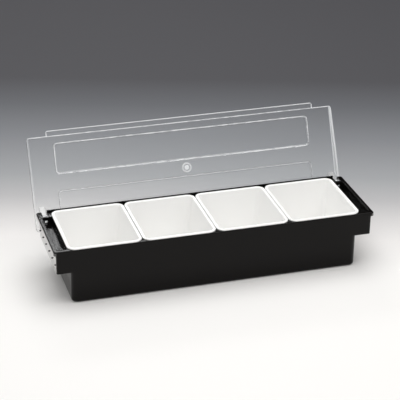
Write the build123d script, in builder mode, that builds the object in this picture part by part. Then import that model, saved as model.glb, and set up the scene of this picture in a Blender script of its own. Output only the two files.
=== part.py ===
import os
from math import acos, atan2, cos, degrees, hypot, radians, sin, tan

from build123d import *

os.makedirs("parts", exist_ok=True)

# Tray body, all in millimetres
tray_depth = 139.7
tray_height = 88.9
wall = 2.5
floor = 2.5
wall_lean = 2.45
trough_corner = 9.0
foot_round = 4.0

# Rim around the top
rim_height = 6.0
rim_corner = 8.0
rim_edge = 2.0
side_overhang = 1.4
end_overhang = 3.8
upstand_height = 3.0
upstand_width = 2.0

# Lift-out pans
pan_count = 4
pan_width = 112.2
pan_wall = 1.8
pan_floor = 1.8
pan_taper = 7.0
pan_corner = 12.0
pan_foot_round = 7.0
pan_gap = 1.0
flange_reach = 3.0
flange_thickness = 1.8
flange_edge = 0.7
mouth_edge = 1.2
pan_clearance = 0.6
pan_front_set = 1.5
pan_back_gap = 0.35
pan_floor_gap = 11.4
ledge_height = 4.0

# Wings at both ends
wing_drop = 37.0
wing_corner = 6.0
deck_depth = 10.0
deck_thickness = 2.5
pocket_corner = 3.0
pocket_edge = 0.8
end_ledge = 3.2
front_rim = 6.4
flare_height = 10.0
pip_count = 6
pip_pitch = 21.0
pip_radius = 1.5
pip_height = 2.0
pip_dome = 1.0
pip_rise = 11.5

# Hinge
hinge_back = 5.85
hinge_drop = 8.9
inner_cheek = 4.6
outer_cheek = 4.4
notch_width = 8.0
notch_depth = 17.85
notch_wall = 3.0
notch_floor_drop = 12.5
boss_drop = 8.0
bore_depth = 2.8
pin_radius = 2.0
pin_clearance = 0.05
pin_end_gap = 0.3
window_width = 4.0
window_height = 4.6

# Clear lid
lid_set_in = 0.7
lid_depth = 144.6
lid_thickness = 2.5
lid_corner = 9.0
lid_lean = 22.7
lid_rise = 20.5
lid_rear_reach = 21.0
lid_rest_gap = 0.4
lid_pan_gap = 0.7
lid_rim_gap = 0.3
panel_end_margin = 40.8
panel_spacing = 25.0
panel_margin = 11.5
panel_corner = 6.0
panel_raise = 3.0
panel_edge = 1.0
lip_end_margin = 30.8
lip_reach = 8.2
lip_overlap = 4.0
lip_corner = 4.0
lip_thickness = 2.0
lug_half = 5.2
lug_clearance = 0.3
gusset_reach = 17.0
gusset_rise = 6.0
gusset_lean = 37.0
heel_reach = 6.2
gate_ring_radius = 7.8
gate_ring_hole = 5.6
gate_disc_radius = 3.6
gate_height = 0.8

# Heights that several pieces share
band_foot = tray_height - rim_height
wing_foot = tray_height - wing_drop
deck_top = tray_height - deck_depth
deck_under = deck_top - deck_thickness
lean_share = tan(radians(wall_lean))
wall_top_depth = tray_depth - 2 * side_overhang
foot_depth = wall_top_depth - 2 * band_foot * lean_share
wing_foot_depth = foot_depth + 2 * wing_foot * lean_share
back_edge = tray_depth / 2

# Pans set the length of the tray
pan_pitch = pan_width + pan_gap
row_end = (pan_count * pan_pitch - pan_gap) / 2
end_pan_centre = row_end - pan_width / 2
taper_share = tan(radians(pan_taper))
pan_front = -back_edge + pan_front_set
upstand_front = back_edge - rim_edge - upstand_width
pan_back = upstand_front - pan_back_gap
pan_depth = pan_back - pan_front
pan_middle = (pan_back + pan_front) / 2
body_width = pan_width - 2 * flange_reach
body_depth = pan_depth - 2 * flange_reach
body_corner = pan_corner - flange_reach
pan_foot = floor + pan_floor_gap
pan_height = tray_height - pan_foot
foot_shrink = 2 * pan_height * taper_share

# Trough and wings fit round the pans
flare_foot = wing_foot + wall
flare_top = flare_foot + flare_height
body_half_at_flare = body_width / 2 - (tray_height - flare_foot) * taper_share
cavity_length = 2 * (end_pan_centre + body_half_at_flare + pan_clearance)
trough_length = cavity_length + 2 * wall
mouth_length = 2 * (row_end - flange_reach + pan_clearance)
cavity_corner = trough_corner - wall
pocket_inner = mouth_length / 2 + end_ledge
notch_inner = pocket_inner + inner_cheek
notch_outer = notch_inner + notch_width
wing_face = notch_outer + outer_cheek
tray_length = 2 * (wing_face + end_overhang)
pocket_outer = wing_face - wall
pocket_width = pocket_outer - pocket_inner
notch_front = back_edge - notch_depth
block_front = notch_front - notch_wall
pocket_front = -back_edge + front_rim
pocket_length = block_front - pocket_front
notch_middle = (notch_inner + notch_outer) / 2

# Hinge axis and the two ends of the lid's swing
hinge_y = back_edge - hinge_back
hinge_z = tray_height - hinge_drop
bore_radius = pin_radius + pin_clearance
lean_cos = cos(radians(lid_lean))
lean_sin = sin(radians(lid_lean))
lid_front_reach = lid_depth - lid_rear_reach
closed_rise = hinge_drop + flange_thickness + lid_pan_gap
swing_radius = hypot(lid_rise, lid_front_reach)
closed_tilt = degrees(acos(closed_rise / swing_radius) - atan2(lid_front_reach, lid_rise))
tilt_cos = cos(radians(closed_tilt))
tilt_sin = sin(radians(closed_tilt))
lid_length = tray_length - 2 * lid_set_in
lid_middle = lid_rear_reach - lid_depth / 2
panel_length = lid_length - 2 * panel_end_margin
panel_depth = (lid_depth - 2 * panel_margin - panel_spacing) / 2
panel_shift = (panel_depth + panel_spacing) / 2
lip_length = lid_length - 2 * lip_end_margin
wall_run = band_foot - hinge_z + lid_rear_reach * lean_cos
skirt_run = wall_top_depth / 2 + lid_rest_gap - hinge_y + lid_rear_reach * lean_sin - wall_run * lean_share
skirt_tip = skirt_run / (lean_cos + lean_sin * lean_share)
side_start = (hinge_drop + lid_rim_gap) / tilt_cos
side_slope_share = tilt_sin / tilt_cos
knee_reach = (skirt_tip - side_start) / side_slope_share
lug_inner = notch_inner + lug_clearance
lug_width = notch_width - 2 * lug_clearance
pin_inner = notch_inner - bore_depth + pin_end_gap
pin_length = notch_width + 2 * (bore_depth - pin_end_gap)

# Planes that ride on the open lid
lid_plane = Plane(origin=(0, hinge_y, hinge_z), x_dir=(1, 0, 0), z_dir=(0, lean_cos, -lean_sin))
side_plane = Plane(origin=(0, hinge_y, hinge_z), x_dir=(0, -lean_sin, -lean_cos), z_dir=(1, 0, 0))
outward = Axis((0, hinge_y, hinge_z), (0, lean_cos, -lean_sin))

# Tray: leaning trough, wings, rim band and rear upstand
with BuildPart() as tray:
    with BuildSketch(Plane.XY):
        RectangleRounded(trough_length, foot_depth, trough_corner)
    with BuildSketch(Plane.XY.offset(band_foot)):
        RectangleRounded(trough_length, wall_top_depth, trough_corner)
    loft()
    fillet(tray.edges().group_by(Axis.Z)[0], radius=foot_round)
    with BuildSketch(Plane.XY.offset(wing_foot)):
        RectangleRounded(2 * wing_face, wing_foot_depth, wing_corner)
    with BuildSketch(Plane.XY.offset(band_foot)):
        RectangleRounded(2 * wing_face, wall_top_depth, wing_corner)
    loft()
    with BuildSketch(Plane.XY.offset(band_foot)):
        RectangleRounded(tray_length, tray_depth, rim_corner)
    extrude(amount=rim_height)
    fillet(tray.edges().group_by(Axis.Z)[-1], radius=rim_edge)
    with BuildSketch(Plane.XY.offset(tray_height)):
        with Locations((0, upstand_front + upstand_width / 2)):
            Rectangle(2 * notch_inner, upstand_width)
    extrude(amount=upstand_height)

    # hollow for the pans, wider above the flare
    with BuildSketch(Plane.XY.offset(floor)):
        RectangleRounded(cavity_length, foot_depth + 2 * floor * lean_share - 2 * wall, cavity_corner)
    with BuildSketch(Plane.XY.offset(flare_foot)):
        RectangleRounded(cavity_length, foot_depth + 2 * flare_foot * lean_share - 2 * wall, cavity_corner)
    loft(mode=Mode.SUBTRACT)
    with BuildSketch(Plane.XY.offset(flare_foot)):
        RectangleRounded(cavity_length, foot_depth + 2 * flare_foot * lean_share - 2 * wall, cavity_corner)
    with BuildSketch(Plane.XY.offset(flare_top)):
        RectangleRounded(mouth_length, foot_depth + 2 * flare_top * lean_share - 2 * wall, cavity_corner)
    loft(mode=Mode.SUBTRACT)
    with BuildSketch(Plane.XY.offset(flare_top)):
        RectangleRounded(mouth_length, foot_depth + 2 * flare_top * lean_share - 2 * wall, cavity_corner)
    with BuildSketch(Plane.XY.offset(band_foot)):
        RectangleRounded(mouth_length, wall_top_depth - 2 * wall, cavity_corner)
    loft(mode=Mode.SUBTRACT)
    with BuildSketch(Plane.XY.offset(band_foot)):
        RectangleRounded(mouth_length, wall_top_depth - 2 * wall, cavity_corner)
    extrude(amount=rim_height, mode=Mode.SUBTRACT)

    # ledge that carries the back of each pan
    with BuildSketch(Plane.XY.offset(tray_height - ledge_height)):
        with Locations((0, (pan_back - flange_reach + pan_clearance + back_edge - side_overhang) / 2)):
            Rectangle(mouth_length + wall, back_edge - side_overhang - pan_back + flange_reach - pan_clearance)
    extrude(amount=ledge_height)

    # pocket on top of each wing
    with BuildSketch(Plane.XY.offset(deck_top)):
        with Locations(
            (pocket_inner + pocket_width / 2, pocket_front + pocket_length / 2),
            (-pocket_inner - pocket_width / 2, pocket_front + pocket_length / 2),
        ):
            RectangleRounded(pocket_width, pocket_length, pocket_corner)
    extrude(amount=deck_depth, mode=Mode.SUBTRACT)
    lips = tray.edges().filter_by_position(Axis.Z, tray_height, tray_height)
    lips = lips.filter_by_position(Axis.Y, pocket_front, block_front)
    fillet(
        lips.filter_by_position(Axis.X, pocket_inner, pocket_outer)
        + lips.filter_by_position(Axis.X, -pocket_outer, -pocket_inner),
        radius=pocket_edge,
    )

    # hollow under each wing
    for side in (-1, 1):
        with BuildSketch(Plane.XZ):
            with BuildLine():
                Polyline(
                    (side * trough_length / 2, wing_foot),
                    (side * trough_length / 2, flare_foot - floor / 2),
                    (side * pocket_inner, flare_top),
                    (side * pocket_inner, deck_under),
                    (side * pocket_outer, deck_under),
                    (side * pocket_outer, wing_foot),
                    close=True,
                )
            make_face()
        extrude(amount=wing_foot_depth / 2 - wall, both=True, mode=Mode.SUBTRACT)

    # hinge blocks with their notch, window and bores
    with BuildSketch(Plane.XY.offset(hinge_z - boss_drop)):
        with Locations(
            ((pocket_inner + pocket_outer) / 2, (block_front + wall_top_depth / 2 - wall) / 2),
            (-(pocket_inner + pocket_outer) / 2, (block_front + wall_top_depth / 2 - wall) / 2),
        ):
            Rectangle(pocket_width + wall, wall_top_depth / 2 - wall - block_front)
    extrude(amount=boss_drop)
    with BuildSketch(Plane.XY.offset(hinge_z - notch_floor_drop)):
        with Locations(
            (notch_middle, back_edge - notch_depth / 2),
            (-notch_middle, back_edge - notch_depth / 2),
        ):
            Rectangle(notch_width, notch_depth)
    extrude(amount=notch_floor_drop + hinge_drop, mode=Mode.SUBTRACT)
    with BuildSketch(Plane.XY.offset(deck_top)):
        with Locations(
            (notch_middle, block_front + notch_wall / 2),
            (-notch_middle, block_front + notch_wall / 2),
        ):
            Rectangle(window_width, notch_wall)
    extrude(amount=window_height, mode=Mode.SUBTRACT)
    with BuildSketch(Plane.YZ.offset(notch_inner - bore_depth)):
        with Locations((hinge_y, hinge_z)):
            Circle(bore_radius)
    extrude(amount=notch_width + 2 * bore_depth, mode=Mode.SUBTRACT)
    with BuildSketch(Plane.YZ.offset(-notch_outer - bore_depth)):
        with Locations((hinge_y, hinge_z)):
            Circle(bore_radius)
    extrude(amount=notch_width + 2 * bore_depth, mode=Mode.SUBTRACT)

    # row of small domed pips on each end face
    for side in (-1, 1):
        with BuildSketch(Plane.YZ.offset(side * wing_face)):
            with Locations((0, wing_foot + pip_rise)):
                with GridLocations(pip_pitch, pip_pitch, pip_count, 1):
                    Circle(pip_radius)
        extrude(amount=side * pip_height)
        tip = side * (wing_face + pip_height)
        domes = tray.edges().filter_by_position(Axis.X, tip, tip).filter_by(GeomType.CIRCLE)
        fillet(domes, radius=pip_dome)
tray.part.label = "tray_base"
export_step(tray.part, "parts/tray_base.step")

# Pan: tapered body hung from a flat flange
with BuildPart() as pan:
    with BuildSketch(Plane.XY.offset(pan_foot)):
        with Locations((0, pan_middle)):
            RectangleRounded(body_width - foot_shrink, body_depth - foot_shrink, body_corner)
    with BuildSketch(Plane.XY.offset(tray_height)):
        with Locations((0, pan_middle)):
            RectangleRounded(body_width, body_depth, body_corner)
    loft()
    fillet(pan.edges().group_by(Axis.Z)[0], radius=pan_foot_round)
    with BuildSketch(Plane.XY.offset(tray_height)):
        with Locations((0, pan_middle)):
            RectangleRounded(pan_width, pan_depth, pan_corner)
    extrude(amount=flange_thickness)
    fillet(pan.edges().group_by(Axis.Z)[-1], radius=flange_edge)
    with BuildSketch(Plane.XY.offset(pan_foot + pan_floor)):
        with Locations((0, pan_middle)):
            RectangleRounded(
                body_width - foot_shrink + 2 * (pan_floor * taper_share - pan_wall),
                body_depth - foot_shrink + 2 * (pan_floor * taper_share - pan_wall),
                body_corner - pan_wall,
            )
    with BuildSketch(Plane.XY.offset(tray_height + flange_thickness)):
        with Locations((0, pan_middle)):
            RectangleRounded(
                body_width + 2 * (flange_thickness * taper_share - pan_wall),
                body_depth + 2 * (flange_thickness * taper_share - pan_wall),
                body_corner - pan_wall,
            )
    loft(mode=Mode.SUBTRACT)
    well_floor = pan.faces().filter_by(Plane.XY).sort_by(Axis.Z)[1]
    fillet(well_floor.edges(), radius=pan_foot_round - pan_wall)
    mouth = pan.faces().filter_by(Plane.XY).sort_by(Axis.Z)[-1].inner_wires()[0]
    fillet(mouth.edges(), radius=mouth_edge)

for number in range(pan_count):
    placed = Pos((number - (pan_count - 1) / 2) * pan_pitch, 0, 0) * pan.part
    placed.label = f"pan_{number + 1}"
    export_step(placed, f"parts/pan_{number + 1}.step")

# Lid: clear cover with side walls and a short rear skirt
with BuildPart() as lid:
    with BuildSketch(lid_plane.offset(lid_rise)):
        with Locations((0, lid_middle)):
            RectangleRounded(lid_length, lid_depth, lid_corner)
    extrude(amount=lid_thickness)
    with BuildSketch(lid_plane.offset(lid_rise)):
        with Locations((0, lid_middle)):
            RectangleRounded(lid_length, lid_depth, lid_corner)
            RectangleRounded(
                lid_length - 2 * lid_thickness,
                lid_depth - 2 * lid_thickness,
                lid_corner - lid_thickness,
                mode=Mode.SUBTRACT,
            )
    extrude(amount=skirt_tip - lid_rise)

    # side walls shallow towards the front, where the pans pass under
    with BuildSketch(side_plane.offset(-lid_length / 2)):
        with BuildLine():
            Polyline(
                (-lid_front_reach - lip_reach, skirt_tip - lid_thickness),
                (-lid_front_reach - lip_reach, side_start + (lid_front_reach + lip_reach) * side_slope_share),
                (-knee_reach, skirt_tip),
                (-knee_reach, skirt_tip - lid_thickness),
                close=True,
            )
        make_face()
    extrude(amount=lid_length, mode=Mode.SUBTRACT)
    with BuildSketch(lid_plane.offset(skirt_tip)):
        with Locations((0, -lid_front_reach + lid_corner / 2)):
            Rectangle(2 * pocket_inner, lid_corner)
    extrude(amount=lid_rise - skirt_tip, mode=Mode.SUBTRACT)

    # two raised panels, hollow on the inside
    with BuildSketch(lid_plane.offset(lid_rise + lid_thickness)):
        with Locations((0, lid_middle - panel_shift), (0, lid_middle + panel_shift)):
            RectangleRounded(panel_length, panel_depth, panel_corner)
    extrude(amount=panel_raise)
    fillet(lid.edges().group_by(outward)[-1], radius=panel_edge)
    with BuildSketch(lid_plane.offset(lid_rise)):
        with Locations((0, lid_middle - panel_shift), (0, lid_middle + panel_shift)):
            RectangleRounded(
                panel_length - 2 * lid_thickness,
                panel_depth - 2 * lid_thickness,
                panel_corner - lid_thickness,
            )
    extrude(amount=panel_raise, mode=Mode.SUBTRACT)

    # finger lip and the round gate mark
    with BuildSketch(lid_plane.offset(lid_rise)):
        with Locations((0, -lid_front_reach + (lip_overlap - lip_reach) / 2)):
            RectangleRounded(lip_length, lip_reach + lip_overlap, lip_corner)
    extrude(amount=lip_thickness)
    with BuildSketch(lid_plane.offset(lid_rise)):
        with Locations((0, lid_middle)):
            Circle(gate_ring_radius)
            Circle(gate_ring_hole, mode=Mode.SUBTRACT)
            Circle(gate_disc_radius)
    extrude(amount=-gate_height)

    # hinge lugs with a gusset above, a heel in front and short pins
    for start, pin_start in ((lug_inner, pin_inner), (-lug_inner - lug_width, -pin_inner - pin_length)):
        with BuildSketch(side_plane.offset(start)):
            with BuildLine():
                Polyline(
                    (-lug_half, -heel_reach),
                    (-lug_half, gusset_rise),
                    (-gusset_reach, gusset_rise + (gusset_reach - lug_half) * tan(radians(gusset_lean))),
                    (-gusset_reach, lid_rise + lid_thickness / 2),
                    (lug_half, lid_rise + lid_thickness / 2),
                    (lug_half, -heel_reach),
                    close=True,
                )
            make_face()
            with Locations((0, -heel_reach)):
                Circle(lug_half)
        extrude(amount=lug_width)
        with BuildSketch(side_plane.offset(pin_start)):
            Circle(pin_radius)
        extrude(amount=pin_length)
lid.part.label = "lid"
export_step(lid.part, "parts/lid.step")
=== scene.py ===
import math

import bpy
from mathutils import Matrix, Vector


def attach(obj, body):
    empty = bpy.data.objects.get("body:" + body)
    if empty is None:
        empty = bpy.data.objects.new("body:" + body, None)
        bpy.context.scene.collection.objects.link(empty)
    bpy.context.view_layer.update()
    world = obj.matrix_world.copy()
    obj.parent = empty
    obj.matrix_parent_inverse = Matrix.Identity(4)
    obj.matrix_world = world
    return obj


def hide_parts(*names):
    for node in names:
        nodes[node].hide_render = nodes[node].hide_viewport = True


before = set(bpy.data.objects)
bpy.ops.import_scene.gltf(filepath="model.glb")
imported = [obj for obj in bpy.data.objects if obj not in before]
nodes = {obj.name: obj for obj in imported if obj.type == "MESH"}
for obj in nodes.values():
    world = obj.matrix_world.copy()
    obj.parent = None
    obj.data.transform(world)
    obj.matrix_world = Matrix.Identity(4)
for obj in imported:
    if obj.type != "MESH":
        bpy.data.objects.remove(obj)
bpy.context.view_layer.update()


# The tray: one injection moulding of black ABS, trough, wings, rim and hinge
# blocks in a single piece. Its faces come from a lightly polished steel tool,
# so they are smooth with a very fine grain and a faint flow mottle.


class Term:
    """An output socket that takes part in Python sums."""

    def __init__(self, tree, socket):
        self.tree = tree
        self.socket = socket

    def make(self, kind, settings=None, sockets=None, output=0):
        """Adds a node, sets it up, feeds its sockets and gives one output."""
        node = self.tree.nodes.new(kind)
        for name, value in (settings or {}).items():
            if name == "stops":
                while len(node.color_ramp.elements) < len(value):
                    node.color_ramp.elements.new(0.5)
                for element, (place, colour) in zip(node.color_ramp.elements, value):
                    element.position = place
                    element.color = colour
            else:
                setattr(node, name, value)
        for key, value in (sockets or {}).items():
            feed(node.inputs[key], value)
        return Term(self.tree, node.outputs[output])

    def math(self, operation, first, second=0.0):
        """A sum of one or two values."""
        return self.make("ShaderNodeMath", {"operation": operation}, {0: first, 1: second})

    def size(self):
        """The value without its sign."""
        return self.math("ABSOLUTE", self)

    def __add__(self, other):
        return self.math("ADD", self, other)

    def __sub__(self, other):
        return self.math("SUBTRACT", self, other)

    def __rsub__(self, other):
        return self.math("SUBTRACT", other, self)

    def __mul__(self, other):
        return self.math("MULTIPLY", self, other)

    def __gt__(self, other):
        return self.math("GREATER_THAN", self, other)

    def __lt__(self, other):
        return self.math("LESS_THAN", self, other)

    __radd__ = __add__
    __rmul__ = __mul__


def feed(socket, value):
    """Sets a socket to a number or colour, or links a Term to it."""
    if isinstance(value, Term):
        value.tree.links.new(value.socket, socket)
    else:
        socket.default_value = value


def plastic(name):
    """A new material: its shader node and the place on the object as a Term."""
    material = bpy.data.materials.new(name)
    material.use_nodes = True
    tree = material.node_tree
    shader = tree.nodes["Principled BSDF"]
    place = Term(tree, tree.nodes.new("ShaderNodeTexCoord").outputs["Object"])
    return material, shader, place


def noise(place, scale, detail=2.0, roughness=0.5):
    """A grey noise, scale in waves per metre."""
    return place.make(
        "ShaderNodeTexNoise",
        {"noise_dimensions": "3D"},
        {"Vector": place, "Scale": scale, "Detail": detail, "Roughness": roughness},
    )


def blend_colour(factor, dark, light):
    """A colour between two, by a factor."""
    return factor.make(
        "ShaderNodeMix",
        {"data_type": "RGBA"},
        {"Factor": factor, "A": (*dark, 1), "B": (*light, 1)},
        "Result",
    )


def dress(node, material):
    """Gives an object one material all over."""
    node.data.materials.clear()
    node.data.materials.append(material)


def tighter_corner(x, y, half_x, half_y, wide, tight):
    """Moves a place near a corner so that an arc of wide radius becomes a tight one.

    A place keeps its direction from the wide arc's centre. Its distance grows by
    as much as the tight outline lies further out than the wide arc there.
    """
    past_x = abs(x) - (half_x - wide)
    past_y = abs(y) - (half_y - wide)
    if past_x <= 0 or past_y <= 0:
        return x, y
    angle = math.atan2(past_y, past_x)
    longer = max(math.cos(angle), math.sin(angle))
    shorter = min(math.cos(angle), math.sin(angle))
    inset = wide - tight
    outline = wide / longer
    if outline * shorter > inset:
        spread = inset * (math.cos(angle) + math.sin(angle))
        outline = spread + math.sqrt(max(spread**2 - 2 * inset**2 + tight**2, 0))
    grow = outline / wide
    new_x = half_x - wide + past_x * grow
    new_y = half_y - wide + past_y * grow
    return math.copysign(new_x, x), math.copysign(new_y, y)


def crisp_copy(name, node, body, move):
    """A merged copy of a CAD node, its places moved, which stands for the node."""
    bpy.ops.object.select_all(action="DESELECT")
    piece = bpy.data.objects.new(name, nodes[node].data.copy())
    bpy.context.scene.collection.objects.link(piece)
    bpy.context.view_layer.objects.active = piece
    piece.select_set(True)
    for vertex in piece.data.vertices:
        vertex.co = move(*vertex.co)
    bpy.ops.mesh.customdata_custom_splitnormals_clear()
    bpy.ops.object.mode_set(mode="EDIT")
    bpy.ops.mesh.select_all(action="SELECT")
    bpy.ops.mesh.remove_doubles(threshold=same_place)
    bpy.ops.object.mode_set(mode="OBJECT")
    bpy.ops.object.shade_smooth_by_angle(angle=math.radians(sharp_edge))
    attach(piece, body)
    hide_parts(node)


def parts_of(place):
    """The X, Y and Z of a place as three Terms."""
    node = place.make("ShaderNodeSeparateXYZ", None, {"Vector": place}).socket.node
    return [Term(place.tree, node.outputs[letter]) for letter in "XYZ"]


black_abs, shader, place = plastic("black_abs")
along, across, up = parts_of(place)
mottle = noise(place, 22, 3.0)
grain = noise(place, 1400, 1.0)
feed(shader.inputs["Base Color"], blend_colour(mottle, (0.0022, 0.0017, 0.0015), (0.0034, 0.0027, 0.0025)))
feed(shader.inputs["Roughness"], 0.07 + 0.05 * mottle + 0.02 * grain)
shader.inputs["IOR"].default_value = 1.25
end_face_start, rim_top = 0.2436, 0.0875
feed(shader.inputs["Coat Weight"], (along.size() > end_face_start) * (up < rim_top))
shader.inputs["Coat Roughness"].default_value = 0.05
shader.inputs["Coat IOR"].default_value = 1.85
bump = place.make("ShaderNodeBump", None, {"Strength": 0.1, "Distance": 0.0002, "Height": grain}, "Normal")
feed(shader.inputs["Normal"], bump)
dress(nodes["tray_base"], black_abs)

# The moulding's corners are tighter than its solid's, and its pips smaller and
# wider apart, so a copy of the node shows in its place. The rear corners of the
# wings stay as they are, because the hinge bores lie close by them.
same_place, sharp_edge, hair, margin = 0.000002, 28, 0.00001, 0.0005
half_length, half_depth, rim_foot, overhang = 0.2475, 0.06985, 0.0829, 0.0014
wing_half, wing_foot, trough_half = 0.2437, 0.0519, 0.2272
wall_lean = math.tan(math.radians(2.45))
rim_wide, rim_tight = 0.008, 0.0035
wing_wide, wing_tight = 0.006, 0.003
pip_height, pip_reach, pip_scale = 0.0634, 0.0018, 0.75
old_pitch, new_pitch, row_middle = 0.021, 0.0233, 2.5


def tray_place(x, y, z):
    """Where a place of the tray goes: out at the corners, along at the pips."""
    if abs(x) > wing_half - hair and abs(z - pip_height) < pip_reach:
        number = round(y / old_pitch + row_middle) - row_middle
        y = number * new_pitch + (y - number * old_pitch) * pip_scale
        z = pip_height + (z - pip_height) * pip_scale
        x = math.copysign(wing_half + (abs(x) - wing_half) * pip_scale, x)
        return Vector((x, y, z))
    if z > rim_foot - hair:
        x, y = tighter_corner(x, y, half_length, half_depth, rim_wide, rim_tight)
    elif y < 0 and (abs(x) > trough_half + margin or z > wing_foot + margin):
        half_here = half_depth - overhang - (rim_foot - z) * wall_lean
        x, y = tighter_corner(x, y, wing_half, half_here, wing_wide, wing_tight)
    return Vector((x, y, z))


crisp_copy("tray_body", "tray_base", "tray", tray_place)


# The four pans: opaque white polypropylene, drafted so that they nest, each
# hanging by its flange. The moulding is glossy, with the dulling that a pan
# gets where food and fingers rub it.
white_pp, shader, place = plastic("white_pp")
haze = noise(place, 35, 3.0)
flow = noise(place, 9, 2.0)
feed(shader.inputs["Base Color"], blend_colour(flow, (0.925, 0.92, 0.905), (0.945, 0.94, 0.925)))
feed(shader.inputs["Roughness"], 0.24 + 0.12 * haze)
shader.inputs["IOR"].default_value = 1.45
ripple = place.make("ShaderNodeBump", None, {"Strength": 0.04, "Distance": 0.0003, "Height": haze}, "Normal")
feed(shader.inputs["Normal"], ripple)
for name in ("pan_1", "pan_2", "pan_3", "pan_4"):
    dress(nodes[name], white_pp)


# The lid: one clear polycarbonate moulding with two raised panels, a finger
# lip, side walls and the two hinge lugs. Light passes through its faces and
# leaves at its edges; those bright edges are painted highlights, pale lines
# of diffuse white mixed into the clear shader.
clear_pc, shader, place = plastic("clear_pc")
wipe = noise(place, 60, 2.0)
shader.inputs["Base Color"].default_value = (0.97, 0.98, 0.985, 1)
shader.inputs["IOR"].default_value = 1.49
shader.inputs["Transmission Weight"].default_value = 1.0
tree = clear_pc.node_tree
edge_round = place.make("ShaderNodeBevel", {"samples": 8}, {"Radius": 0.0008})
feed(shader.inputs["Normal"], edge_round)
shadow_ray = Term(tree, tree.nodes.new("ShaderNodeLightPath").outputs["Is Shadow Ray"])
see_through = place.make("ShaderNodeBsdfTransparent", None, {"Color": (0.9, 0.91, 0.915, 1)})

# Places on the lid: along its length, down from the hinge in its plane, and
# outward from the hinge to its plate, which leans 22.7 degrees back.
along, across, up = parts_of(place)
hinge_y, hinge_z, lean_sin, lean_cos = 0.064, 0.080, 0.3859, 0.9225
behind_hinge = across - hinge_y
above_hinge = up - hinge_z
down = behind_hinge * -lean_sin - above_hinge * lean_cos
outward = behind_hinge * lean_cos - above_hinge * lean_sin
sideways = along.size()

# Distance from the outline of the nearer raised panel, less than 0 inside it
plate_middle, panel_shift = 0.0513, 0.03665
panel_half_length, panel_half_depth, panel_corner = 0.2, 0.01815, 0.006
from_middle = (down + plate_middle).size()
past_end = sideways - panel_half_length
past_side = (from_middle - panel_shift).size() - panel_half_depth
out_end = past_end.math("MAXIMUM", past_end)
out_side = past_side.math("MAXIMUM", past_side)
outside = out_end.math("SQRT", out_end * out_end + out_side * out_side)
deeper = past_end.math("MAXIMUM", past_end, past_side)
from_panel = outside + deeper.math("MINIMUM", deeper) - panel_corner


def line(distance, width):
    """1 on a line, falling to 0 at width either side of it."""
    return distance.make(
        "ShaderNodeMapRange",
        {"interpolation_type": "SMOOTHSTEP"},
        {"Value": distance.size(), "From Min": 0.0, "From Max": width, "To Min": 1.0, "To Max": 0.0},
    )


# Painted highlights: pale lines along panels, free edge and finger lip, broken by
# a noise, painted highlights on the side walls and gate mark, and a rougher
# finish on the lugs. The right wall and the upper panel get stronger painted
# highlights, after the way the light falls on the lid.
patchy = noise(place, 90, 3.0, 0.6)
broken = patchy.make("ShaderNodeMapRange", None, {"Value": patchy, "From Min": 0.4, "From Max": 0.6})
shoulder, free_edge, lip_end, lip_side = 0.0008, 0.1229, 0.1312, 0.2155
lower_panel_dimming = (down > -0.045) * 0.5
# Painted highlight along the panels' shoulders, at half strength on the lower panel.
panel_highlight = line(from_panel + shoulder, 0.0013) * (0.22 + 0.5 * broken) * (1 - lower_panel_dimming)
top_edge_highlight = line(down + free_edge, 0.0011) * (0.3 + 0.4 * broken)
on_lip = (sideways < 0.2165) * (down < -0.1236)
lip_highlight = on_lip * (line(down + lip_end, 0.0012) + line(sideways - lip_side, 0.0014)) * 0.6
side_wall = 0.2435
# Painted highlight on the side walls, stronger on the right where the light falls.
right_wall_highlight = (along > side_wall) * 0.42
left_wall_highlight = (along < -side_wall) * 0.1
ring_outer, ring_inner, disc, inner_face = 0.0079, 0.0056, 0.0036, 0.0206
from_gate = from_middle.math("SQRT", along * along + from_middle * from_middle)
# The moulded gate mark in the middle of the lid, shown by a painted highlight on its ring and disc.
gate_ring_highlight = (from_gate < ring_outer) * (from_gate > ring_inner) * 0.5
gate_disc_highlight = (from_gate < disc) * 0.65
gate_highlight = (0.12 * (from_gate < ring_inner) + gate_ring_highlight + gate_disc_highlight) * (outward < inner_face)
# All painted highlights summed and capped, then mixed in as a pale diffuse white.
painted_highlight = panel_highlight + top_edge_highlight + lip_highlight + right_wall_highlight + left_wall_highlight + gate_highlight
painted_highlight = painted_highlight.math("MINIMUM", painted_highlight, 0.85)
lug = (sideways > 0.2308) * (sideways < 0.2400) * (outward < 0.0195) * (down > -0.022)
feed(shader.inputs["Roughness"], 0.004 + 0.012 * wipe + 0.5 * lug)
# The white of the painted highlights.
highlight_white = place.make("ShaderNodeBsdfDiffuse", None, {"Color": (0.9, 0.91, 0.92, 1)})
painted_lit_edges = place.make(
    "ShaderNodeMixShader", None, {0: painted_highlight, 1: Term(tree, shader.outputs[0]), 2: highlight_white}
)
both = place.make("ShaderNodeMixShader", None, {0: shadow_ray, 1: painted_lit_edges, 2: see_through})
feed(tree.nodes["Material Output"].inputs["Surface"], both)
dress(nodes["lid"], clear_pc)

lid_half_length, lid_half_depth = 0.2468, 0.0723
lid_wide, lid_tight = 0.009, 0.0045


def lid_place(x, y, z):
    """Where a place of the lid goes: out at its four corners, in its own plane."""
    run = -(y - hinge_y) * lean_sin - (z - hinge_z) * lean_cos + plate_middle
    x, new_run = tighter_corner(x, run, lid_half_length, lid_half_depth, lid_wide, lid_tight)
    shift = new_run - run
    return Vector((x, y - shift * lean_sin, z - shift * lean_cos))


crisp_copy("lid_cover", "lid", "lid", lid_place)
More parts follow.
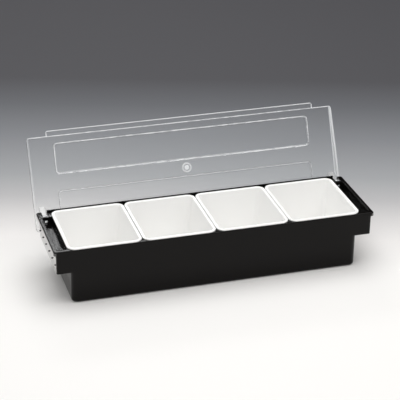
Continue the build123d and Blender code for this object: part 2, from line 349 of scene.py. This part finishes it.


# The table and backdrop: one roll of white paper. Its colour carries painted
# shade: bright under the tray and falling off to grey behind it, where less
# light reaches it. It isn't part of the object.
table_radius, gap_below = 9, 0.0004
bpy.ops.object.select_all(action="DESELECT")
bpy.ops.mesh.primitive_circle_add(
    vertices=96, radius=table_radius, fill_type="NGON", location=(0, 0, -gap_below)
)
paper = bpy.context.object
paper.name = "paper"
bpy.ops.object.transform_apply(location=True, rotation=True, scale=True)
sweep, shader, place = plastic("sweep")
along, across, up = parts_of(place)
behind = along * 0.31 + across * 0.951
beside = along.make(
    "ShaderNodeMapRange",
    {"interpolation_type": "SMOOTHSTEP"},
    {"Value": along, "From Min": 1.0, "From Max": 1.8},
)
# Painted shade: the paper's colour darkens with distance behind the tray, but stays bright far to the right.
painted_falloff = place.make(
    "ShaderNodeValToRGB",
    {
        "stops": [
            (0.0, (0.90, 0.885, 0.865, 1)),
            (0.09, (0.82, 0.80, 0.785, 1)),
            (0.17, (0.635, 0.62, 0.615, 1)),
            (0.24, (0.465, 0.46, 0.465, 1)),
            (0.33, (0.34, 0.346, 0.357, 1)),
            (0.5, (0.216, 0.222, 0.236, 1)),
            (0.66, (0.127, 0.131, 0.142, 1)),
            (0.8, (0.081, 0.08, 0.087, 1)),
        ]
    },
    {"Fac": behind * (1 - beside)},
)
feed(shader.inputs["Base Color"], painted_falloff)
shader.inputs["Roughness"].default_value = 0.7
shader.inputs["Specular IOR Level"].default_value = 0.2
dress(paper, sweep)


# Studio light: a large soft box overhead, a weaker one in front, a smaller one
# behind whose reflection lies on the left wing, and a room that is dim there.
world = bpy.data.worlds.new("room")
bpy.context.scene.world = world
world.use_nodes = True
tree = world.node_tree
toward = Term(tree, tree.nodes.new("ShaderNodeTexCoord").outputs["Generated"])
along, across, up = parts_of(toward)
rear = along * 0.33 + across * 0.87 + up * 0.37
sky = toward.make(
    "ShaderNodeValToRGB",
    {
        "stops": [
            (0.0, (0.6, 0.6, 0.6, 1)),
            (0.85, (0.5, 0.5, 0.5, 1)),
            (0.95, (0.02, 0.02, 0.02, 1)),
        ]
    },
    {"Fac": rear},
)
feed(tree.nodes["Background"].inputs["Color"], sky)


def soft_box(name, place, aim, width, height, power):
    """A lamp of a width and height that the camera doesn't see, aimed at a place."""
    lamp = bpy.data.lights.new(name, "AREA")
    lamp.shape = "RECTANGLE"
    lamp.size = width
    lamp.size_y = height
    lamp.energy = power
    box = bpy.data.objects.new(name, lamp)
    bpy.context.scene.collection.objects.link(box)
    box.location = place
    box.rotation_euler = (Vector(aim) - Vector(place)).to_track_quat("-Z", "Y").to_euler()
    box.visible_camera = False


soft_box("overhead", (0.15, 0.05, 1.9), (0, 0, 0.05), 2.0, 1.8, 25.5)
soft_box("front", (-0.9, -2.3, 1.9), (0, 0, 0.05), 1.4, 1.0, 8)
soft_box("back_left", (0.171, 2.566, 1.58), (-0.235, 0, 0.08), 1.1, 0.388, 8.0)


# The camera stands where the photograph was taken from: 25.3 degrees above
# the table and 16.2 degrees to the left of the tray's front.
turn, tilt, roll = math.radians(16.197), math.radians(25.288), math.radians(0.104)
forward = Vector((math.sin(turn) * math.cos(tilt), math.cos(turn) * math.cos(tilt), -math.sin(tilt)))
sensor, frame_pixels, focal_pixels = 36, 400, 1535.97
lens = bpy.data.cameras.new("camera")
lens.sensor_width = sensor
lens.lens = focal_pixels / frame_pixels * sensor
lens.clip_end = 60
camera = bpy.data.objects.new("camera", lens)
bpy.context.scene.collection.objects.link(camera)
camera.location = (-0.5934, -2.0147, 1.1020)
camera.rotation_mode = "QUATERNION"
upright = forward.to_track_quat("-Z", "Y")
camera.rotation_quaternion = upright @ Matrix.Rotation(roll, 3, "Z").to_quaternion()
bpy.context.scene.camera = camera
bpy.context.scene.view_settings.view_transform = "Standard"
